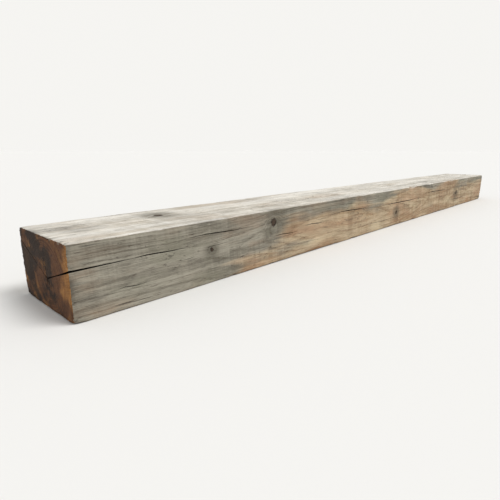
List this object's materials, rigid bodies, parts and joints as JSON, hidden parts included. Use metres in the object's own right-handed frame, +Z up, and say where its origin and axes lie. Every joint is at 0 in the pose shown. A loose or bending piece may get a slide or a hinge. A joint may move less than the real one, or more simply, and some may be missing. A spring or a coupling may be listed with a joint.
{
  "type": "railway sleeper",
  "caption": "Sawn oak baulk of rectangular section with square ends, laid flat or stacked as a retaining wall, edging or step.",
  "frame": {"origin": "middle of the bed face that the sleeper lies on", "axes": "+X along the length, +Y across the width towards the back, +Z up"},
  "size_m": [2.6, 0.24, 0.15],
  "materials": {
    "oak": "rough sawn, weathered silver-grey to tan, dark stained ends"
  },
  "bodies": {
    "root": {"sleeper": "oak"}
  },
  "joints": []
}
